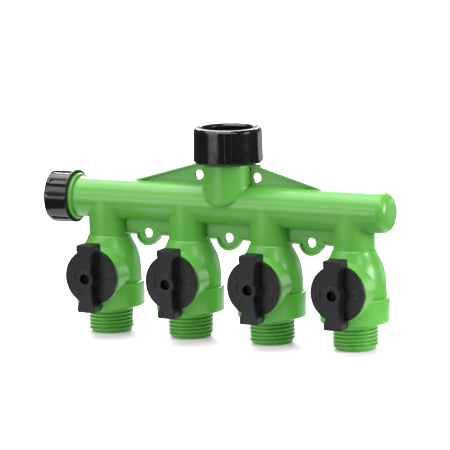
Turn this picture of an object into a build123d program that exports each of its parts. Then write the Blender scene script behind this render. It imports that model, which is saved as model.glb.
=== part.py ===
from build123d import *
import math
import os

# Four-way garden hose splitter: one moulded manifold, four quarter-turn ball valves,
# a swivel nut on the inlet and a screw cap on the spare side port.
#
# Millimetres, +Z up. The part is drawn about the crossing of the pipe's axis (X) and the
# inlet's axis (Z), with the handles facing -Y. Every piece is then moved down by
# SEAL_FACE_Z, so that the finished part's origin is the centre of the inlet's sealing
# face, the top of the washer inside the swivel nut.

# ---- driving dimensions -------------------------------------------------------------

# outlets
OUTLET_COUNT = 4
OUTLET_PITCH = 53.4          # distance between neighbouring outlet axes
OUTLET_X = [(i - (OUTLET_COUNT - 1) / 2) * OUTLET_PITCH for i in range(OUTLET_COUNT)]

# hose thread, 3/4 inch class: 11.5 turns to the inch on 27 mm
THREAD_PITCH = 25.4 / 11.5
THREAD_CREST_R = 13.45
THREAD_ROOT_R = 12.2
THREAD_LAND_R = 13.5         # plain land at the thread's full diameter

# pipe
PIPE_R = 12.1
PIPE_BORE_R = 9.7
PIPE_RIGHT_X = 104.2
PIPE_END_ROUND = 6.0
PIPE_END_WALL = 2.5
SHOULDER_R = 13.75
SHOULDER_LENGTH = 2.5
SHOULDER_LEFT_X = -101.0
SIDE_PORT_LENGTH = 11.1      # threaded stub under the cap

# inlet stub and the spigot that the nut turns on
STUB_R = 14.9
STUB_LOW_Z = 1.0
STUB_TOP_Z = 24.8
STUB_BORE_R = 9.5
SPIGOT_R = 13.55
FLANGE_R = 14.95
FLANGE_LOW_Z = 28.7
FLANGE_TOP_Z = 31.0
WASHER_THICK = 2.5
SEAL_FACE_Z = FLANGE_TOP_Z + WASHER_THICK

# swivel nut, for a male thread of 33.2 mm
NUT_LOW_Z = 25.3
NUT_TOP_Z = 45.9
NUT_R = 20.2
NUT_RIB_R = 21.0
NUT_TAPER = 0.4              # added to both radii at the lower edge
NUT_RIB_WIDTH = 4.2
NUT_RIB_COUNT = 6
NUT_RIB_START = -64.0
NUT_LIP_R = 13.85
NUT_LIP_TOP_Z = 28.4
NUT_RECESS_R = 15.35
NUT_MINOR_R = 15.15
NUT_MAJOR_R = 16.6
NUT_LAND_LENGTH = 2.5

# neck, valve dome and collar of each outlet
NECK_R = 12.15
NECK_BORE_R = 9.0
DOME_TOP_Z = -21.8
DOME_TOP_R = 12.7
DOME_LOW_R = 18.75
COLLAR_R = 20.4
COLLAR_TOP_Z = -49.8
COLLAR_LOW_Z = -64.5
CHAMBER_R = 13.2
CHAMBER_TOP_Z = -32.0
SOCKET_R = 16.0
SOCKET_TOP_Z = -56.8
COUNTERBORE_R = 17.7
COUNTERBORE_DEPTH = 2.0
NOZZLE_LOW_Z = -80.5

# valve
VALVE_Z = -44.4
BALL_R = 12.0
BALL_BORE_R = 7.5
BOSS_R = 17.0
BOSS_FACE_Y = -22.0
STEM_R = 4.4
STEM_BORE_R = 4.45
STEM_FLANGE_R = 6.0
STEM_FLANGE_Y = -14.1
STEM_SQUARE = 5.8
STEM_FRONT_Y = -27.5
STEM_RING_Y = -18.2
TANG_WIDTH = 3.9
TANG_LENGTH = 9.0
TANG_DEPTH_Y = -9.5
FIT = 0.1                    # slack between pieces that are pushed together

# handle
HANDLE_BACK_Y = -22.5
HANDLE_FRONT_Y = -32.9
DISC_R = 16.8
DISC_THICK = 3.0
GRIP_HALF_LENGTH = 20.3
GRIP_END_HALF_WIDTH = 5.7
GRIP_NECK_HALF_WIDTH = 4.4
GRIP_WAIST_HALF_WIDTH = 3.8
HUB_PROUD = 0.6              # hub's ring in front of the grip
MARK_PROUD = 0.5
HUB_R = 5.35
RECESS_R = 3.2
SCREW_SEAT_Y = -28.3
PILOT_R = 1.25

# quarter-turn stop: a pin on the handle in an arc cut in the boss
STOP_RADIUS = 11.0
STOP_PIN_R = 1.25
STOP_SLOT_R = 1.5
STOP_DEPTH = 1.7
STOP_START = 45.0            # pin's angle with the valve open, from +X towards +Z

# mounting web on the middle plane
WEB_THICK = 2.0
RIM_THICK = 4.6
RIM_WIDTH = 1.3
WEB_LOW_Z = -20.9
LUG_Z = -19.8
LUG_R = 7.7
LUG_COUNT = OUTLET_COUNT - 1
SCREW_HOLE_R = 2.75
GUSSET_HALF_LENGTH = 63.0
GUSSET_FOOT_Z = 11.6
GUSSET_HALF_TOP = 18.7
GUSSET_TOP_Z = 24.3
GUSSET_HOLE_X = 18.9
GUSSET_HOLE_Z = 16.9

# cap of the side port
CAP_R = 15.95
CAP_LEFT_X = -116.4
CAP_RIGHT_X = -101.1
CAP_END_WALL = 2.3
CAP_SLOT_WIDTH = 3.0
CAP_SLOT_LENGTH = 11.8
CAP_SLOT_MIDDLE = 6.5        # from the mouth, so that a slot stops just inside the rim
CAP_SLOT_DEPTH = 0.9
CAP_SLOT_STEP = 30.0
CAP_SLOT_FIRST = 10.0
CAP_THREAD_SLACK = 0.15

LOW = (Align.CENTER, Align.CENTER, Align.MIN)


# ---- helpers ------------------------------------------------------------------------

def rod(radius, low, high):
    """Cylinder about Z between two heights."""
    return Pos(0, 0, low) * Cylinder(radius, high - low, align=LOW)


def tube(outer, inner, low, high):
    """Plain ring about Z between two heights."""
    return rod(outer, low, high) - rod(inner, low - 1, high + 1)


def rod_y(radius, near, far, z=0.0):
    """Cylinder about Y between two depths, near being the smaller y."""
    return Pos(0, near, z) * Rot(-90, 0, 0) * Cylinder(radius, far - near, align=LOW)


def turned(*points):
    """Solid of revolution about Z from (radius, height) corners."""
    return revolve(Plane.XZ * make_face(Polyline(*points, close=True)), Axis.Z)


def ring(major, minor, z):
    return Pos(0, 0, z) * Torus(major, minor)


def thread_ridge(root, crest, low, high, foot_share=0.84, crest_share=0.28):
    """Right-hand helical ridge about Z; its foot is sunk a little into the wall."""
    sink = math.copysign(0.25, crest - root)
    depth = crest - root
    foot = THREAD_PITCH * foot_share / 2
    top = THREAD_PITCH * crest_share / 2
    path = Helix(THREAD_PITCH, high - low, root)
    outline = Polyline((-sink, -foot), (depth, -top), (depth, top), (-sink, foot), close=True)
    section = Plane(origin=path @ 0, x_dir=(1, 0, 0), z_dir=path % 0) * make_face(outline)
    return Pos(0, 0, low) * sweep(section, path=path, is_frenet=True)


def threaded_post(length, land):
    """Male hose thread standing on z = 0: a plain land, the thread and a chamfered lip."""
    lip = 1.3
    core = rod(THREAD_ROOT_R, 0, length) + rod(THREAD_LAND_R, 0, land)
    post = core + thread_ridge(THREAD_ROOT_R, THREAD_CREST_R, land - 0.4, length - lip)
    envelope = turned((0, 0), (THREAD_LAND_R + 1, 0), (THREAD_LAND_R + 1, length - 2.4),
                      (THREAD_ROOT_R - 0.6, length), (0, length))
    return post & envelope


# ---- manifold body ------------------------------------------------------------------

def pipe_outside():
    length = PIPE_RIGHT_X - SHOULDER_LEFT_X
    run = Cylinder(PIPE_R, length, align=LOW)
    run = fillet(run.edges().sort_by(Axis.Z)[-1], PIPE_END_ROUND)
    shoulder = Cylinder(SHOULDER_R, SHOULDER_LENGTH, align=LOW)
    shoulder = fillet(shoulder.edges().sort_by(Axis.Z)[-1], 0.8)
    along = Plane(origin=(SHOULDER_LEFT_X, 0, 0), x_dir=(0, 1, 0), z_dir=(1, 0, 0))
    port = Plane(origin=(SHOULDER_LEFT_X, 0, 0), x_dir=(0, -1, 0), z_dir=(-1, 0, 0))
    return along * (run + shoulder) + port * threaded_post(SIDE_PORT_LENGTH, 0.6)


def inlet_outside():
    """Stub whose lower end is a rounded apron over the pipe, and the flanged spigot."""
    barrel = rod(STUB_R, 0, STUB_TOP_Z)
    apron_z = STUB_LOW_Z + STUB_R
    front_view = Pos(0, apron_z) * Circle(STUB_R)
    front_view += Pos(0, apron_z) * Rectangle(2 * STUB_R, STUB_TOP_Z, align=(Align.CENTER, Align.MIN))
    apron = extrude(Plane.XZ * front_view, STUB_R + 1, both=True)
    spigot = rod(SPIGOT_R, STUB_TOP_Z, FLANGE_LOW_Z) + rod(FLANGE_R, FLANGE_LOW_Z, FLANGE_TOP_Z)
    return (barrel & apron) + spigot


def dome_profile():
    """Half section of one valve dome: sloping ledge under the neck, then a swelling side."""
    ledge = DOME_TOP_R - NECK_R
    side = Spline((DOME_TOP_R, DOME_TOP_Z - ledge), (14.5, -26.5), (16.8, -31.4), (18.1, -37.0),
                  (DOME_LOW_R, -46.5), tangents=[(0.3, -1), (0, -1)])
    rest = Polyline((DOME_LOW_R, -46.5), (DOME_LOW_R, COLLAR_TOP_Z - 1), (0, COLLAR_TOP_Z - 1),
                    (0, DOME_TOP_Z), (NECK_R, DOME_TOP_Z), (DOME_TOP_R, DOME_TOP_Z - ledge))
    return make_face([side, rest])


def outlet_outside():
    neck = rod(NECK_R, DOME_TOP_Z - 1, 0)
    dome = revolve(Plane.XZ * dome_profile(), Axis.Z)
    collar = rod(COLLAR_R, COLLAR_LOW_Z, COLLAR_TOP_Z)
    rims = collar.edges().filter_by(GeomType.CIRCLE).sort_by(Axis.Z)
    collar = fillet(rims[-1], 0.6)
    rims = collar.edges().filter_by(GeomType.CIRCLE).sort_by(Axis.Z)
    collar = fillet(rims[0], 1.0)
    boss = rod_y(BOSS_R, BOSS_FACE_Y, 0, VALVE_Z)
    boss = fillet(boss.edges().sort_by(Axis.Y)[0], 0.8)
    return neck + dome + collar + boss


def outlet_inside():
    """Everything cut out of one outlet: water way, ball chamber, socket, stem bearing, stop."""
    way = rod(NECK_BORE_R, CHAMBER_TOP_Z - 1, 0)
    chamber = rod(CHAMBER_R, SOCKET_TOP_Z - 1, CHAMBER_TOP_Z)
    socket = rod(SOCKET_R, COLLAR_LOW_Z - 1, SOCKET_TOP_Z)
    counterbore = rod(COUNTERBORE_R, COLLAR_LOW_Z - 1, COLLAR_LOW_Z + COUNTERBORE_DEPTH)
    pocket = rod_y(STEM_FLANGE_R + 0.3, STEM_FLANGE_Y - 0.15, -CHAMBER_R + 2, VALVE_Z)
    bearing = rod_y(STEM_BORE_R, BOSS_FACE_Y - 1, STEM_FLANGE_Y, VALVE_Z)
    return way + chamber + socket + counterbore + pocket + bearing + stop_slot()


def stop_slot():
    """Quarter-circle slot in the boss face, round at both ends."""
    path = CenterArc((0, 0), STOP_RADIUS, STOP_START - 90, 90)
    ends = [Pos(path @ t) * Circle(STOP_SLOT_R) for t in (0, 1)]
    outer = CenterArc((0, 0), STOP_RADIUS + STOP_SLOT_R, STOP_START - 90, 90)
    inner = CenterArc((0, 0), STOP_RADIUS - STOP_SLOT_R, STOP_START - 90, 90)
    band = make_face([outer, Line(outer @ 1, inner @ 1), inner, Line(inner @ 0, outer @ 0)])
    shape = band + ends[0] + ends[1]
    face = Plane(origin=(0, BOSS_FACE_Y, VALVE_Z), x_dir=(1, 0, 0), z_dir=(0, -1, 0))
    return face * extrude(shape, STOP_DEPTH, both=True)


def web():
    """Thin plate on the middle plane with a thicker rim, holed lugs below and gussets above."""
    lower = Rectangle((OUTLET_COUNT - 1) * OUTLET_PITCH, -WEB_LOW_Z,
                      align=(Align.CENTER, Align.MAX))
    for i in range(LUG_COUNT):
        x = (i - (LUG_COUNT - 1) / 2) * OUTLET_PITCH
        lower += Pos(x, LUG_Z) * Circle(LUG_R)
    upper = make_face(Polyline((-GUSSET_HALF_LENGTH, 0), (-GUSSET_HALF_LENGTH, GUSSET_FOOT_Z),
                               (-GUSSET_HALF_TOP, GUSSET_TOP_Z), (GUSSET_HALF_TOP, GUSSET_TOP_Z),
                               (GUSSET_HALF_LENGTH, GUSSET_FOOT_Z), (GUSSET_HALF_LENGTH, 0),
                               close=True))
    plate, rims = None, None
    for outline in (lower, upper):
        flat = extrude(Plane.XZ * outline, WEB_THICK / 2, both=True)
        rim = extrude(Plane.XZ * (outline - offset(outline, -RIM_WIDTH)), RIM_THICK / 2, both=True)
        plate = flat if plate is None else plate + flat
        rims = rim if rims is None else rims + rim
    return plate + rims


def web_holes():
    spots = [((i - (LUG_COUNT - 1) / 2) * OUTLET_PITCH, LUG_Z) for i in range(LUG_COUNT)]
    spots += [(side * GUSSET_HOLE_X, GUSSET_HOLE_Z) for side in (-1, 1)]
    return [Pos(x, 0, 0) * rod_y(SCREW_HOLE_R, -RIM_THICK, RIM_THICK, z) for x, z in spots]


def manifold_body():
    body = pipe_outside() + inlet_outside() + web()
    body += [Pos(x, 0, 0) * outlet_outside() for x in OUTLET_X]
    left = SHOULDER_LEFT_X - SIDE_PORT_LENGTH - 1
    run = PIPE_RIGHT_X - PIPE_END_WALL - left
    bore = Cylinder(PIPE_BORE_R, run, align=LOW)
    bore = fillet(bore.edges().sort_by(Axis.Z)[-1], PIPE_END_ROUND - 1.5)
    body -= Plane(origin=(left, 0, 0), x_dir=(0, 1, 0), z_dir=(1, 0, 0)) * bore
    body -= rod(STUB_BORE_R, 0, FLANGE_TOP_Z + 1)
    body -= [Pos(x, 0, 0) * outlet_inside() for x in OUTLET_X]
    body -= web_holes()
    return body


# ---- outlet pieces, drawn on the outlet's axis --------------------------------------

def outlet_nozzle():
    """Plug that closes the valve chamber from below and carries the hose thread."""
    seat_z = COLLAR_LOW_Z + 0.1
    groove_z = SOCKET_TOP_Z - 2.9
    plug = rod(SOCKET_R - FIT, COLLAR_LOW_Z + COUNTERBORE_DEPTH, SOCKET_TOP_Z)
    plug = chamfer(plug.edges().sort_by(Axis.Z)[-1], 0.6)
    flange = rod(COUNTERBORE_R - FIT, seat_z, COLLAR_LOW_Z + COUNTERBORE_DEPTH)
    post = Pos(0, 0, seat_z) * Rot(180, 0, 0) * threaded_post(seat_z - NOZZLE_LOW_Z, 2.5)
    body = plug + flange + post
    body -= tube(SOCKET_R + 1, SOCKET_R - 1.75, groove_z - 1, groove_z + 1)
    mouth = turned((0, NOZZLE_LOW_Z - 0.1), (NECK_BORE_R + 0.9, NOZZLE_LOW_Z - 0.1),
                   (NECK_BORE_R, NOZZLE_LOW_Z + 0.9), (0, NOZZLE_LOW_Z + 0.9))
    return body - rod(NECK_BORE_R, NOZZLE_LOW_Z - 1, SOCKET_TOP_Z + 1) - mouth


def nozzle_o_ring():
    return ring(SOCKET_R - 0.87, 0.8, SOCKET_TOP_Z - 2.9)


def ball_seat(side):
    """Ring with a spherical face towards the ball; side is 1 above the ball, -1 below."""
    far = abs(CHAMBER_TOP_Z - VALVE_Z) - 0.05
    seat = tube(CHAMBER_R - FIT, NECK_BORE_R - 0.8, far - 5.5, far)
    seat = Rot(0, 0 if side > 0 else 180, 0) * seat
    return Pos(0, 0, VALVE_Z) * (seat - Sphere(BALL_R + 0.05))


def ball():
    """Ball with its bore along the outlet and a slot across the front for the stem."""
    body = Sphere(BALL_R) - rod(BALL_BORE_R, -BALL_R, BALL_R)
    slot_depth = BALL_R + TANG_DEPTH_Y + FIT
    slot = Box(2 * BALL_R, 2 * slot_depth, TANG_WIDTH + FIT)
    body -= Pos(0, -BALL_R, 0) * slot
    return Pos(0, 0, VALVE_Z) * body


def stem():
    """Spindle: tang in the ball, blow-out flange, sealed journal and a square for the handle."""
    flange_back = STEM_FLANGE_Y + 1.4
    body = rod_y(STEM_FLANGE_R, STEM_FLANGE_Y, flange_back)
    body += rod_y(STEM_R, HANDLE_BACK_Y + 0.1, STEM_FLANGE_Y)
    tang_run = TANG_DEPTH_Y - flange_back
    body += Pos(0, flange_back + tang_run / 2, 0) * Box(TANG_LENGTH, tang_run, TANG_WIDTH)
    square_run = HANDLE_BACK_Y + 0.1 - STEM_FRONT_Y
    body += Pos(0, STEM_FRONT_Y + square_run / 2, 0) * Box(STEM_SQUARE, square_run, STEM_SQUARE)
    groove = rod_y(STEM_R + 1, STEM_RING_Y - 0.65, STEM_RING_Y + 0.65)
    body -= groove - rod_y(STEM_R - 1.1, STEM_RING_Y - 2, STEM_RING_Y + 2)
    body -= rod_y(PILOT_R, STEM_FRONT_Y - 1, STEM_FRONT_Y + 8.5)
    return Pos(0, 0, VALVE_Z) * body


def stem_o_ring():
    return Pos(0, STEM_RING_Y, VALVE_Z) * Rot(90, 0, 0) * Torus(STEM_R - 0.54, 0.54)


def grip_outline():
    """Front view of the grip: a bar with a wide head at both ends, waisted at the hub."""
    knee = DISC_R - 0.2
    half = [(GRIP_END_HALF_WIDTH, GRIP_HALF_LENGTH), (GRIP_END_HALF_WIDTH, knee),
            (GRIP_NECK_HALF_WIDTH, knee - 2.8), (GRIP_WAIST_HALF_WIDTH, HUB_R - 1)]
    right = half + [(x, -z) for x, z in reversed(half)]
    left = [(-x, -z) for x, z in right]
    return make_face(Polyline(*right, *left, close=True))


def handle_marks():
    """Raised marks on the disc: a bar for open, a ring for closed, each with an arrow head."""
    bar = Pos(-11.2, 0) * Rectangle(1.2, 4.8)
    circle = Pos(11.2, 0) * (Circle(2.6) - Circle(1.5))
    arrow = make_face(Polyline((-1.0, 0), (1.0, 0), (0, 1.5), close=True))
    arrows = Pos(-10.8, 4.4) * arrow + Pos(10.8, -4.4) * Rot(0, 0, 180) * arrow
    return bar + circle + arrows


def handle():
    depth = HANDLE_BACK_Y - HANDLE_FRONT_Y
    disc = Cylinder(DISC_R, DISC_THICK, align=LOW)
    disc = fillet(disc.edges().filter_by(GeomType.CIRCLE), 0.5)
    grip = extrude(grip_outline(), depth - HUB_PROUD)
    grip = fillet(grip.edges().filter_by(Axis.Z), 1.1)
    grip = fillet(grip.faces().sort_by(Axis.Z)[-1].edges(), 0.6)
    hub = Cylinder(HUB_R, depth, align=LOW)
    hub = fillet(hub.edges().sort_by(Axis.Z)[-1], 0.3)
    marks = extrude(Pos(0, 0, DISC_THICK - 0.2) * handle_marks(), MARK_PROUD + 0.2)
    pin = Rot(0, 0, STOP_START) * Pos(STOP_RADIUS, 0, 0) * Cylinder(STOP_PIN_R, 4)
    pin &= Pos(0, 0, -1.8) * Cylinder(DISC_R, 3, align=LOW)
    body = disc + grip + hub + marks + pin
    recess_depth = SCREW_SEAT_Y - HANDLE_FRONT_Y
    body -= Pos(0, 0, depth - recess_depth) * Cylinder(RECESS_R, recess_depth + 1, align=LOW)
    socket = STEM_SQUARE + 2 * FIT
    body -= Box(socket, socket, 2 * (HANDLE_BACK_Y - STEM_FRONT_Y + FIT))
    body -= Cylinder(PILOT_R + 0.3, 3 * depth)
    return Plane(origin=(0, HANDLE_BACK_Y, VALVE_Z), x_dir=(1, 0, 0), z_dir=(0, -1, 0)) * body


def handle_screw():
    """Pan head screw with a cross recess, sunk in the handle's hub."""
    head_r, head_high, shank = 2.9, 1.9, 8.6
    head = Cylinder(head_r, head_high, align=LOW)
    head = fillet(head.edges().sort_by(Axis.Z)[-1], 1.0)
    for angle in (0, 90):
        head -= Pos(0, 0, head_high) * Rot(0, 0, angle) * Box(0.75, 3.6, 2.2)
    body = head + Pos(0, 0, -shank) * Cylinder(PILOT_R - 0.05, shank, align=LOW)
    front = Plane(origin=(0, SCREW_SEAT_Y, VALVE_Z), x_dir=(1, 0, 0), z_dir=(0, -1, 0))
    return front * body


# ---- inlet pieces -------------------------------------------------------------------

def nut_outside(radius):
    """Outside of the nut, this radius at the top: slight draft, bevelled top, rounded foot."""
    blank = turned((0, NUT_LOW_Z), (radius + NUT_TAPER, NUT_LOW_Z), (radius, NUT_TOP_Z - 1.4),
                   (radius - 1.4, NUT_TOP_Z), (0, NUT_TOP_Z))
    rims = blank.edges().filter_by(GeomType.CIRCLE).sort_by(Axis.Z)
    blank = fillet(rims[0], 1.6)
    rims = blank.edges().filter_by(GeomType.CIRCLE).sort_by(Axis.Z)
    return fillet(rims[-2:], 0.6)


def inlet_nut():
    nut = nut_outside(NUT_R)
    ribbed = nut_outside(NUT_RIB_R)
    for i in range(NUT_RIB_COUNT):
        angle = NUT_RIB_START + 360 * i / NUT_RIB_COUNT
        slab = Pos(NUT_RIB_R, 0, 0) * Box(NUT_RIB_R, NUT_RIB_WIDTH, 4 * NUT_TOP_Z)
        nut += ribbed & (Rot(0, 0, angle) * slab)
    land_top = SEAL_FACE_Z + NUT_LAND_LENGTH
    nut -= rod(NUT_LIP_R, NUT_LOW_Z - 1, NUT_TOP_Z + 1)
    nut -= rod(NUT_RECESS_R, NUT_LIP_TOP_Z, SEAL_FACE_Z)
    nut -= rod(NUT_MINOR_R, SEAL_FACE_Z - 0.5, NUT_TOP_Z + 1)
    nut -= turned((0, NUT_TOP_Z - 1.3), (NUT_MINOR_R, NUT_TOP_Z - 1.3),
                  (NUT_MINOR_R + 1.4, NUT_TOP_Z + 0.1), (0, NUT_TOP_Z + 0.1))
    half_turn = THREAD_PITCH / 2
    nut -= thread_ridge(NUT_MINOR_R, NUT_MAJOR_R, land_top + half_turn, NUT_TOP_Z + half_turn)
    return nut


def inlet_washer():
    return tube(FLANGE_R, 9.8, FLANGE_TOP_Z, SEAL_FACE_Z)


# ---- side port pieces ---------------------------------------------------------------

def cap_slots():
    """Grip slots in three groups of three, each slot round at both ends."""
    slots = []
    for i in range(12):
        if i % 4 == 3:
            continue
        outline = SlotOverall(CAP_SLOT_LENGTH, CAP_SLOT_WIDTH)
        cutter = Plane(origin=(CAP_R, 0, CAP_SLOT_MIDDLE), x_dir=(0, 0, 1), z_dir=(1, 0, 0))
        slot = cutter * extrude(outline, CAP_SLOT_DEPTH, both=True)
        slots.append(Rot(0, 0, CAP_SLOT_FIRST + i * CAP_SLOT_STEP) * slot)
    return slots


def end_cap():
    """Screw cap drawn mouth down on z = 0, then laid over the port."""
    length = CAP_RIGHT_X - CAP_LEFT_X
    cap = rod(CAP_R, 0, length)
    rims = cap.edges().filter_by(GeomType.CIRCLE).sort_by(Axis.Z)
    cap = fillet(rims[-1], 1.6)
    rims = cap.edges().filter_by(GeomType.CIRCLE).sort_by(Axis.Z)
    cap = fillet(rims[0], 0.5)
    cap -= rod(THREAD_ROOT_R + CAP_THREAD_SLACK, -1, length - CAP_END_WALL)
    gap = SHOULDER_LEFT_X - CAP_RIGHT_X
    ridge = thread_ridge(THREAD_ROOT_R, THREAD_CREST_R + CAP_THREAD_SLACK, 0.2,
                         SIDE_PORT_LENGTH, 0.98, 0.42)
    cap -= Pos(0, 0, -gap) * ridge
    cap -= rod(THREAD_CREST_R + 0.6, -1, 0.9)
    cap -= cap_slots()
    over_port = Plane(origin=(CAP_RIGHT_X, 0, 0), x_dir=(0, -1, 0), z_dir=(-1, 0, 0))
    return over_port * cap


def cap_washer():
    end = CAP_LEFT_X + CAP_END_WALL
    port_end = SHOULDER_LEFT_X - SIDE_PORT_LENGTH
    thick = port_end - end - 0.05
    along = Plane(origin=(end, 0, 0), x_dir=(0, 1, 0), z_dir=(1, 0, 0))
    return along * tube(THREAD_ROOT_R, 8.0, 0, thick)


# ---- write the parts ----------------------------------------------------------------

SINGLE_PIECES = {
    "manifold_body": manifold_body,
    "inlet_nut": inlet_nut,
    "inlet_washer": inlet_washer,
    "end_cap": end_cap,
    "cap_washer": cap_washer,
}

OUTLET_PIECES = {
    "outlet_nozzle": outlet_nozzle,
    "nozzle_o_ring": nozzle_o_ring,
    "upper_seat": lambda: ball_seat(1),
    "lower_seat": lambda: ball_seat(-1),
    "ball": ball,
    "stem": stem,
    "stem_o_ring": stem_o_ring,
    "handle": handle,
    "handle_screw": handle_screw,
}


def write(name, shape, x=0.0):
    export_step(Pos(x, 0, -SEAL_FACE_Z) * shape, f"parts/{name}.step")


os.makedirs("parts", exist_ok=True)
for name, make in SINGLE_PIECES.items():
    write(name, make())
for name, make in OUTLET_PIECES.items():
    piece = make()
    for number, x in enumerate(OUTLET_X, start=1):
        write(f"{name}_{number}", piece, x)
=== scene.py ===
import math

import bpy
from mathutils import Matrix, Vector


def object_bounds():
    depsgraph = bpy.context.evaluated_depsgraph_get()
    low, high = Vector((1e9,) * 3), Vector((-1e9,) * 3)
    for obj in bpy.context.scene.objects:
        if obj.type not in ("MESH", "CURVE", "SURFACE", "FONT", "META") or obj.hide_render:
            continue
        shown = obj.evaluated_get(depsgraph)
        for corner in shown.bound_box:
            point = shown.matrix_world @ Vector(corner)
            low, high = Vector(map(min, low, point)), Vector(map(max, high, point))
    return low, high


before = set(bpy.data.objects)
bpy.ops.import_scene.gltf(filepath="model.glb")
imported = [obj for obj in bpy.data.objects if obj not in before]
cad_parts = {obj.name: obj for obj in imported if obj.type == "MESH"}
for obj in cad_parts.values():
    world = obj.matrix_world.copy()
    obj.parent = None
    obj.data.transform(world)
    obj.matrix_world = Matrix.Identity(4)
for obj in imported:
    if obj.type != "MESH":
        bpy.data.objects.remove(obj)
cad_low, cad_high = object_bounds()

MM = 0.001

# ---- camera: the photograph's viewing angle --------------------------------------------

CAMERA_AZIMUTH = 26.18        # degrees round from the front, towards +X
CAMERA_ELEVATION = 9.19
CAMERA_ROLL = -1.06
CAMERA_DISTANCE = 2.015       # metres, a long lens from well back
CAMERA_LENS = 274.1           # millimetres, like the sensor's width
CAMERA_SENSOR = 36.0
CAMERA_CLIP = (0.05, 60.0)    # metres
CAMERA_AIM = Vector((-0.0015, -0.0029, -0.0455))

# ---- finish sizes ------------------------------------------------------------------------

EDGE_ROUND = 0.6 * MM         # softening of the body's moulded edges
JUNCTION_ROUND = 2.6 * MM     # softening where the necks run into the pipe
WEB_FACE_Y = 3.2 * MM         # the wide softening starts this far off the middle plane ...
OFF_WEB_Y = 5.0 * MM          # ... and is full from here
NECK_FOOT_Z = -55 * MM        # the necks stand on the valve domes here
NECK_FADE = 3 * MM
NECKS_END_X = 96 * MM         # the pipe's rounded end starts here
END_FADE = 2 * MM
# reach of the occlusion that paints shade into corners
PAINTED_SHADE_DEPTH = 3 * MM
OPEN_FACE_COS = 0.985         # cosine of the softened normal's lean on an open face ...
SHARP_EDGE_COS = 0.86         # ... and on a sharp edge
NOISE_LOW, NOISE_HIGH = 0.3, 0.7    # most of a noise texture's values lie between these
BEVEL_SAMPLES = 12
OCCLUSION_SAMPLES = 6

# ---- stage sizes, in metres --------------------------------------------------------------

FILL_STRENGTH = 0.10          # light given by the white surroundings
FLOOR_SHADE = 255             # brightness out of 255
FLOOR_GLOW = 0.3              # the table is lit from below, as a light table is
FLOOR_DROP = 0.0004           # gap between the object and the table
FLOOR_RADIUS = 9.0
PATCH_SHADE = 232             # the two patches of table that the object's light comes off
PATCH_LIFT = 0.0001
UNDER_RADIUS = 0.17           # the patch below the object
AHEAD_RADIUS = 0.26           # the patch in front, which the flat front faces mirror
AHEAD_AZIMUTH = -26.0
AHEAD_DISTANCE = 0.75
RIM_STEPS = 96

WHITE = (1.0, 1.0, 1.0, 1.0)


def direction(azimuth, elevation):
    """Unit vector from the object towards a place; azimuth 0 is the front, 90 the +X side."""
    a, e = math.radians(azimuth), math.radians(elevation)
    return Vector((math.sin(a) * math.cos(e), -math.cos(a) * math.cos(e), math.sin(e)))


def make_camera():
    back = direction(CAMERA_AZIMUTH, CAMERA_ELEVATION)
    a, roll = math.radians(CAMERA_AZIMUTH), math.radians(CAMERA_ROLL)
    right = Vector((math.cos(a), math.sin(a), 0.0))
    up = back.cross(right)
    across = right * math.cos(roll) + up * math.sin(roll)
    along = up * math.cos(roll) - right * math.sin(roll)
    data = bpy.data.cameras.new("camera")
    data.lens = CAMERA_LENS
    data.sensor_width = CAMERA_SENSOR
    data.clip_start, data.clip_end = CAMERA_CLIP
    data.dof.use_dof = False
    camera = bpy.data.objects.new("camera", data)
    turn = Matrix((across, along, back)).transposed().to_4x4()
    camera.matrix_world = Matrix.Translation(CAMERA_AIM + back * CAMERA_DISTANCE) @ turn
    bpy.context.scene.collection.objects.link(camera)
    bpy.context.scene.camera = camera


# ---- lights ------------------------------------------------------------------------------

def hang(name, data, towards, distance):
    """Put a light up in this direction from the object's middle, facing it."""
    light = bpy.data.objects.new(name, data)
    light.location = CAMERA_AIM + towards * distance
    light.rotation_mode = "QUATERNION"
    light.rotation_quaternion = (-towards).to_track_quat("-Z", "Y")
    bpy.context.scene.collection.objects.link(light)


def skylight(azimuth, elevation, angle, strength):
    """Broad round light overhead, the same over the whole table at any distance."""
    data = bpy.data.lights.new("skylight", "SUN")
    data.angle = math.radians(angle)
    data.energy = strength
    hang("skylight", data, direction(azimuth, elevation), 0.0)


def softbox(name, azimuth, elevation, distance, width, height, power):
    """Rectangular area light aimed at the middle of the object."""
    data = bpy.data.lights.new(name, "AREA")
    data.shape = "RECTANGLE"
    data.size, data.size_y = width, height
    data.energy = power
    hang(name, data, direction(azimuth, elevation), distance)


def make_lights():
    skylight(azimuth=-80, elevation=74, angle=56, strength=2.3)
    softbox("overhead", azimuth=-30, elevation=82, distance=0.9,
            width=1.5, height=0.3, power=3.3)
    softbox("front_high", azimuth=-22, elevation=57, distance=1.1,
            width=1.3, height=0.34, power=1.2)
    softbox("front_mid", azimuth=-32, elevation=26, distance=1.2,
            width=1.0, height=0.4, power=3.8)
    # the second band along the pipe
    softbox("front_low", azimuth=-26, elevation=2, distance=1.3,
            width=0.8, height=0.2, power=3.2)
    # the ends on the right
    softbox("right_side", azimuth=92, elevation=14, distance=1.1,
            width=0.4, height=0.45, power=9.5)
    # the highlights on the domes
    softbox("right_high", azimuth=56, elevation=46, distance=1.1,
            width=0.14, height=0.5, power=2.2)
    softbox("back_right", azimuth=150, elevation=2, distance=1.3,
            width=0.5, height=0.4, power=1.4)
    # the light top of the end cap
    softbox("behind_high", azimuth=209, elevation=28, distance=1.2,
            width=0.8, height=0.4, power=24.0)
    softbox("backdrop", azimuth=195, elevation=4, distance=1.6,
            width=2.0, height=1.0, power=4.0)


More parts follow.
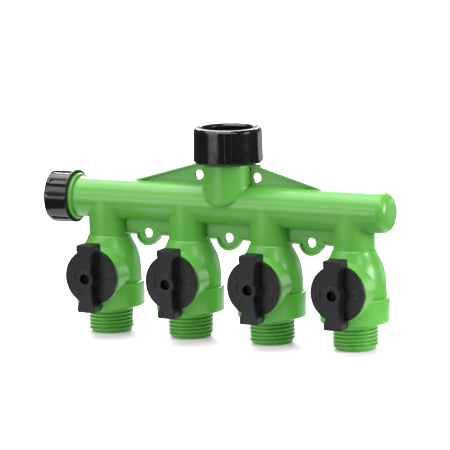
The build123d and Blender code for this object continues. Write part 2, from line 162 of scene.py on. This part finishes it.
def make_world():
    """White surroundings behind the object; the light that they give is dimmer than they look."""
    world = bpy.data.worlds.new("studio")
    world.use_nodes = True
    tree = world.node_tree
    seen = tree.nodes["Background"]
    seen.inputs["Color"].default_value = WHITE
    fill = tree.nodes.new("ShaderNodeBackground")
    fill.inputs["Color"].default_value = WHITE
    fill.inputs["Strength"].default_value = FILL_STRENGTH
    path = tree.nodes.new("ShaderNodeLightPath")
    mix = tree.nodes.new("ShaderNodeMixShader")
    tree.links.new(path.outputs["Is Camera Ray"], mix.inputs[0])
    tree.links.new(fill.outputs[0], mix.inputs[1])
    tree.links.new(seen.outputs[0], mix.inputs[2])
    tree.links.new(mix.outputs[0], tree.nodes["World Output"].inputs["Surface"])
    bpy.context.scene.world = world


# ---- node helpers ------------------------------------------------------------------------

class Shader:
    """One material's node tree, with short calls for the nodes that the finishes share."""

    # which of the mix node's sockets belong to each kind of value: factor, two ends, result
    MIX_SOCKETS = {"RGBA": (0, 6, 7, 2), "VECTOR": (0, 4, 5, 1)}

    def __init__(self, name):
        self.material = bpy.data.materials.new(name)
        self.material.use_nodes = True
        self.tree = self.material.node_tree
        self.bsdf = self.tree.nodes["Principled BSDF"]
        self.place = self.tree.nodes.new("ShaderNodeTexCoord").outputs["Object"]

    def link(self, value, socket):
        """Feed a socket, or set it where the value is uniform."""
        if isinstance(value, bpy.types.NodeSocket):
            self.tree.links.new(value, socket)
        else:
            socket.default_value = value

    def node(self, kind, inputs, **settings):
        made = self.tree.nodes.new(kind)
        for key, value in settings.items():
            setattr(made, key, value)
        for key, value in inputs.items():
            self.link(value, made.inputs[key])
        return made

    def stretched(self, scale):
        """Object coordinates scaled apart along X, Y and Z."""
        return self.node("ShaderNodeMapping", {"Vector": self.place, "Scale": scale}).outputs[0]

    def noise(self, scale, detail, roughness, vector=None):
        made = self.node("ShaderNodeTexNoise", {
            "Vector": vector or self.place, "Scale": scale, "Detail": detail,
            "Roughness": roughness})
        return made.outputs["Fac"]

    def cells(self, scale):
        made = self.node("ShaderNodeTexVoronoi", {"Vector": self.place, "Scale": scale})
        return made.outputs["Distance"]

    def span(self, value, low, high, to_low=0.0, to_high=1.0):
        """The value, carried from one range to another and held at its ends."""
        made = self.node("ShaderNodeMapRange", {
            "Value": value, "From Min": low, "From Max": high,
            "To Min": to_low, "To Max": to_high}, clamp=True)
        return made.outputs["Result"]

    def cloud_span(self, noise, to_low=0.0, to_high=1.0):
        """A noise's usual values, carried to another range."""
        return self.span(noise, NOISE_LOW, NOISE_HIGH, to_low, to_high)

    def maths(self, operation, first, second):
        made = self.tree.nodes.new("ShaderNodeMath")
        made.operation = operation
        self.link(first, made.inputs[0])
        self.link(second, made.inputs[1])
        return made.outputs[0]

    def share(self, value, amount):
        """The value times a uniform amount."""
        return self.maths("MULTIPLY", value, amount)

    def mix_node(self, kind):
        """A mix node for colours or vectors: its factor, its two ends and its result."""
        made = self.tree.nodes.new("ShaderNodeMix")
        made.data_type = kind
        factor, first, second, result = self.MIX_SOCKETS[kind]
        return made.inputs[factor], made.inputs[first], made.inputs[second], made.outputs[result]

    def mixed(self, factor, first, second):
        """Colour between two colours, each a socket or an RGB triple."""
        *sockets, result = self.mix_node("RGBA")
        for value, socket in zip((factor, first, second), sockets):
            if isinstance(value, tuple):
                value = (*value, 1.0)
            self.link(value, socket)
        return result

    def rounded(self, radius):
        """Normal as it would be with the edges softened by this radius."""
        made = self.node("ShaderNodeBevel", {"Radius": radius}, samples=BEVEL_SAMPLES)
        return made.outputs["Normal"]

    def blended(self, wide, narrow):
        """Rounding that is wide where pipe and necks meet, and narrow elsewhere."""
        apart = self.node("ShaderNodeSeparateXYZ", {"Vector": self.place}).outputs
        off_web = self.span(self.maths("ABSOLUTE", apart["Y"], 0.0), WEB_FACE_Y, OFF_WEB_Y)
        above_dome = self.span(apart["Z"], NECK_FOOT_Z, NECK_FOOT_Z + NECK_FADE)
        before_end = self.span(apart["X"], NECKS_END_X - END_FADE, NECKS_END_X, 1.0, 0.0)
        factor, first, second, result = self.mix_node("VECTOR")
        on_necks = self.maths("MULTIPLY", off_web, above_dome)
        self.link(self.maths("MULTIPLY", on_necks, before_end), factor)
        self.link(self.rounded(narrow), first)
        self.link(self.rounded(wide), second)
        return result

    def edge_mask(self, radius):
        """1 along edges within this radius, 0 on open faces."""
        geometry = self.tree.nodes.new("ShaderNodeNewGeometry")
        product = self.tree.nodes.new("ShaderNodeVectorMath")
        product.operation = "DOT_PRODUCT"
        self.link(self.rounded(radius), product.inputs[0])
        self.link(geometry.outputs["Normal"], product.inputs[1])
        return self.span(product.outputs["Value"], SHARP_EDGE_COS, OPEN_FACE_COS, 1.0, 0.0)

    def bump(self, height, strength, distance, normal):
        return self.node("ShaderNodeBump", {
            "Height": height, "Strength": strength, "Distance": distance,
            "Normal": normal}).outputs["Normal"]

    def painted_crevice_shade(self):
        """1 in the open, towards 0 in tight corners: the mask for painted shade in corners and
        creases.
        """
        made = self.node("ShaderNodeAmbientOcclusion", {"Distance": PAINTED_SHADE_DEPTH},
                         samples=OCCLUSION_SAMPLES)
        return made.outputs["AO"]

    def set(self, **inputs):
        """Link or set the shader's own inputs, with _ for a space in each name."""
        for key, value in inputs.items():
            self.link(value, self.bsdf.inputs[key.replace("_", " ")])


def linear(red, green, blue):
    """Linear colour from 0 to 255 display values, by the sRGB curve."""
    def one(value):
        value /= 255
        return value / 12.92 if value <= 0.04045 else ((value + 0.055) / 1.055) ** 2.4
    return one(red), one(green), one(blue)


# ---- finishes ----------------------------------------------------------------------------

def body_green():
    """Moulded polypropylene: bright green, semi-gloss, with flow mottling, edges paled partly as
    wear and partly as a painted highlight, and painted shade in the creases.
    """
    s = Shader("body_green")
    flow = s.noise(scale=9.0, detail=4.0, roughness=0.6, vector=s.stretched((1.0, 2.6, 2.6)))
    mottle = s.noise(scale=70.0, detail=5.0, roughness=0.62)
    base = s.mixed(s.cloud_span(flow), linear(94, 171, 67), linear(100, 177, 73))
    base = s.mixed(s.span(mottle, 0.35, 0.75, to_high=0.12), base, linear(84, 170, 54))
    # paler edges: partly wear, partly a painted highlight along the edges
    base = s.mixed(s.share(s.edge_mask(0.5 * MM), 0.35), base, linear(138, 206, 112))
    # painted shade: darker green where corners and creases hide the light
    shade = s.span(s.painted_crevice_shade(), 0.1, 0.8)
    base = s.mixed(shade, linear(62, 146, 38), base)
    grain = s.noise(scale=2600.0, detail=2.0, roughness=0.5)
    peel = s.noise(scale=240.0, detail=2.0, roughness=0.5)
    soft = s.blended(JUNCTION_ROUND, EDGE_ROUND)
    waved = s.bump(peel, strength=0.05, distance=0.4 * MM, normal=soft)
    normal = s.bump(grain, strength=0.05, distance=0.05 * MM, normal=waved)
    gloss = s.noise(scale=24.0, detail=2.0, roughness=0.5)
    s.set(Base_Color=base, Normal=normal, Roughness=s.cloud_span(gloss, 0.27, 0.33),
          Specular_IOR_Level=0.5, Subsurface_Weight=0.08, Subsurface_Scale=4 * MM,
          Subsurface_Radius=(0.5, 1.0, 0.3))
    return s.material


def nut_black():
    """Glossy black ABS with fine handling scratches, and edges paled partly as wear and partly as
    a painted highlight.
    """
    s = Shader("nut_black")
    cloud = s.noise(scale=45.0, detail=4.0, roughness=0.6)
    base = s.mixed(s.cloud_span(cloud), linear(12, 12, 13), linear(21, 21, 23))
    # paler edges: partly wear, partly a painted highlight along the edges
    base = s.mixed(s.share(s.edge_mask(0.45 * MM), 0.4), base, linear(58, 58, 62))
    marks = s.noise(scale=60.0, detail=6.0, roughness=0.75, vector=s.stretched((1.0, 1.0, 26.0)))
    scratch = s.span(marks, 0.56, 0.72)
    rough = s.span(s.noise(scale=180.0, detail=4.0, roughness=0.6), 0.3, 0.75, 0.09, 0.16)
    rough = s.maths("ADD", rough, s.share(scratch, 0.10))
    wave = s.noise(scale=210.0, detail=2.0, roughness=0.5)
    waved = s.bump(wave, strength=0.05, distance=0.4 * MM, normal=s.rounded(0.5 * MM))
    s.set(Base_Color=base, Roughness=rough, Specular_IOR_Level=0.5,
          Normal=s.bump(scratch, strength=0.05, distance=0.03 * MM, normal=waved))
    return s.material


def handle_black():
    """Satin charcoal nylon with a spark-eroded grain, smoother on worn edges, whose paler colour
    is partly wear and partly a painted highlight; painted shade darkens the creases.
    """
    s = Shader("handle_black")
    cloud = s.noise(scale=60.0, detail=4.0, roughness=0.6)
    base = s.mixed(s.cloud_span(cloud), linear(13, 13, 16), linear(20, 20, 24))
    # edges: smoother as wear, and paler partly as wear and partly as a painted highlight
    worn = s.edge_mask(0.5 * MM)
    base = s.mixed(s.share(worn, 0.6), base, linear(86, 86, 92))
    # painted shade: near black where corners and creases hide the light
    base = s.mixed(s.span(s.painted_crevice_shade(), 0.2, 0.85), linear(10, 10, 11), base)
    speckle = s.noise(scale=1500.0, detail=3.0, roughness=0.6)
    grain = s.maths("ADD", speckle, s.share(s.cells(scale=1900.0), 0.5))
    rough = s.span(s.noise(scale=220.0, detail=4.0, roughness=0.6), 0.3, 0.75, 0.38, 0.52)
    rough = s.maths("SUBTRACT", rough, s.share(worn, 0.12))
    s.set(Base_Color=base, Roughness=rough, Specular_IOR_Level=0.3,
          Normal=s.bump(grain, strength=0.18, distance=0.06 * MM, normal=s.rounded(0.4 * MM)))
    return s.material


def seal_rubber():
    """Matte black rubber with a light grey bloom and moulding grain."""
    s = Shader("seal_rubber")
    bloom = s.span(s.noise(scale=320.0, detail=6.0, roughness=0.7), 0.45, 0.75)
    base = s.mixed(s.share(bloom, 0.5), linear(22, 22, 22), linear(54, 54, 52))
    grain = s.noise(scale=1800.0, detail=3.0, roughness=0.65)
    s.set(Base_Color=base, Roughness=s.span(bloom, 0.0, 1.0, 0.62, 0.85),
          Normal=s.bump(grain, strength=0.25, distance=0.05 * MM, normal=s.rounded(0.2 * MM)))
    return s.material


def seat_white():
    """Waxy white fluoropolymer with faint turning lines."""
    s = Shader("seat_white")
    cloud = s.noise(scale=150.0, detail=4.0, roughness=0.6)
    base = s.mixed(s.cloud_span(cloud), linear(226, 226, 218), linear(240, 240, 234))
    lines = s.noise(scale=900.0, detail=2.0, roughness=0.5, vector=s.stretched((0.05, 0.05, 2.0)))
    s.set(Base_Color=base, Roughness=s.cloud_span(cloud, 0.32, 0.46),
          Subsurface_Weight=0.2, Subsurface_Scale=2 * MM,
          Normal=s.bump(lines, strength=0.15, distance=0.03 * MM, normal=s.rounded(0.2 * MM)))
    return s.material


def ball_grey():
    """Polished light grey plastic ball with hair-fine circular rub marks."""
    s = Shader("ball_grey")
    cloud = s.noise(scale=90.0, detail=4.0, roughness=0.6)
    base = s.mixed(s.cloud_span(cloud), linear(196, 198, 200), linear(212, 214, 215))
    base = s.mixed(s.share(s.edge_mask(0.3 * MM), 0.4), base, linear(232, 233, 234))
    marks = s.noise(scale=120.0, detail=6.0, roughness=0.75, vector=s.stretched((1.0, 30.0, 1.0)))
    rub = s.span(marks, 0.55, 0.72)
    rough = s.maths("ADD", s.cloud_span(cloud, 0.14, 0.22), s.share(rub, 0.08))
    s.set(Base_Color=base, Roughness=rough,
          Normal=s.bump(rub, strength=0.06, distance=0.02 * MM, normal=s.rounded(0.3 * MM)))
    return s.material


def stem_black():
    """Dark glass-filled nylon with short fibres showing in the skin."""
    s = Shader("stem_black")
    marks = s.noise(scale=900.0, detail=4.0, roughness=0.7, vector=s.stretched((1.0, 0.2, 1.0)))
    fibre = s.span(marks, 0.5, 0.7)
    base = s.mixed(s.share(fibre, 0.5), linear(38, 38, 41), linear(66, 66, 70))
    base = s.mixed(s.share(s.edge_mask(0.25 * MM), 0.4), base, linear(96, 96, 100))
    s.set(Base_Color=base, Roughness=s.span(fibre, 0.0, 1.0, 0.42, 0.56),
          Normal=s.bump(fibre, strength=0.15, distance=0.03 * MM, normal=s.rounded(0.25 * MM)))
    return s.material


def screw_steel():
    """Blackened steel screw, rubbed paler on the edges of its head and recess."""
    s = Shader("screw_steel")
    cloud = s.noise(scale=400.0, detail=5.0, roughness=0.65)
    worn = s.maths("MULTIPLY", s.edge_mask(0.15 * MM), s.span(cloud, 0.35, 0.6))
    base = s.mixed(s.cloud_span(cloud), linear(16, 16, 18), linear(26, 26, 28))
    base = s.mixed(worn, base, linear(74, 74, 78))
    drawn = s.noise(scale=2000.0, detail=2.0, roughness=0.5, vector=s.stretched((1.0, 0.1, 1.0)))
    s.set(Base_Color=base, Metallic=0.9, Roughness=s.cloud_span(cloud, 0.34, 0.5),
          Normal=s.bump(drawn, strength=0.12, distance=0.02 * MM, normal=s.rounded(0.12 * MM)))
    return s.material


FINISHES = (body_green, nut_black, handle_black, seal_rubber,
            seat_white, ball_grey, stem_black, screw_steel)


def paint_nodes():
    """Each carried-over CAD node keeps its shape and takes the finish of its own slot."""
    made = {finish.__name__: finish() for finish in FINISHES}
    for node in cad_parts.values():
        for index, old in enumerate(node.data.materials):
            node.data.materials[index] = made[old.name.split(".")[0]]


# ---- floor -------------------------------------------------------------------------------

def flat_round(name, radius, height, material, middle=(0.0, 0.0)):
    """Flat round sheet, part of the stage."""
    mesh = bpy.data.meshes.new(name)
    rim = [2 * math.pi * i / RIM_STEPS for i in range(RIM_STEPS)]
    x, y = middle
    corners = [(x + radius * math.cos(a), y + radius * math.sin(a), height) for a in rim]
    mesh.from_pydata(corners, [], [tuple(range(RIM_STEPS))])
    mesh.materials.append(material)
    sheet = bpy.data.objects.new(name, mesh)
    bpy.context.scene.collection.objects.link(sheet)
    return sheet


def table_white(name, shade, glow):
    """Matt white laminate, faintly clouded, with its brightness out of 255 and its own glow."""
    s = Shader(name)
    cloud = s.noise(scale=3.0, detail=3.0, roughness=0.5)
    base = s.mixed(s.cloud_span(cloud), linear(*[shade - 5] * 3), linear(*[shade] * 3))
    s.set(Base_Color=base, Roughness=s.cloud_span(cloud, 0.65, 0.75), Specular_IOR_Level=0.1,
          Emission_Strength=glow, Emission_Color=WHITE)
    return s.material


def make_floor():
    """Pale floor that only the camera sees, and two dimmer patches that light the object."""
    height = cad_low.z - FLOOR_DROP
    seen = table_white("floor_white", FLOOR_SHADE, FLOOR_GLOW)
    floor = flat_round("floor", FLOOR_RADIUS, height - PATCH_LIFT, seen)
    floor.visible_glossy = floor.visible_diffuse = False
    dim = table_white("table_dim", PATCH_SHADE, 0.0)
    ahead = direction(AHEAD_AZIMUTH, 0) * AHEAD_DISTANCE
    for sheet in (flat_round("table_under", UNDER_RADIUS, height, dim),
                  flat_round("table_ahead", AHEAD_RADIUS, height, dim, (ahead.x, ahead.y))):
        sheet.visible_camera = sheet.visible_shadow = False


make_camera()
make_world()
make_lights()
make_floor()
paint_nodes()
bpy.context.scene.view_settings.view_transform = "Standard"
